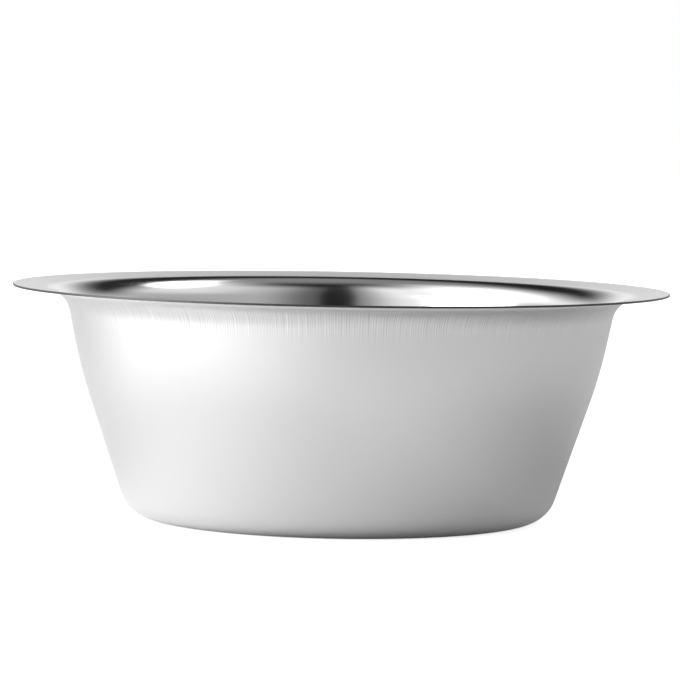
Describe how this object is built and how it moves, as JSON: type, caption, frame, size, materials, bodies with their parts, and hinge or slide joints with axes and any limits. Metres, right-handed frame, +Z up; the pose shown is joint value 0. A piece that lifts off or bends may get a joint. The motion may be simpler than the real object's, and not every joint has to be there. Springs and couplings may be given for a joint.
{
  "type": "cage cup",
  "caption": "Round tapered stainless steel cage cup with a flat base and a wide flared flange, which rests in a ring holder; holds food or water for a caged pet.",
  "frame": {"origin": "middle of the base's underside, on the surface that the cup stands on", "axes": "+Z up along the cup's axis of revolution; +Y is the direction in which the picture looks, +X is to its right"},
  "size_m": [0.158, 0.158, 0.0558],
  "materials": {
    "stainless_steel": "satin with upright draw lines outside, polished inside"
  },
  "bodies": {
    "root": {"drawn_cup": "stainless_steel"}
  },
  "joints": []
}
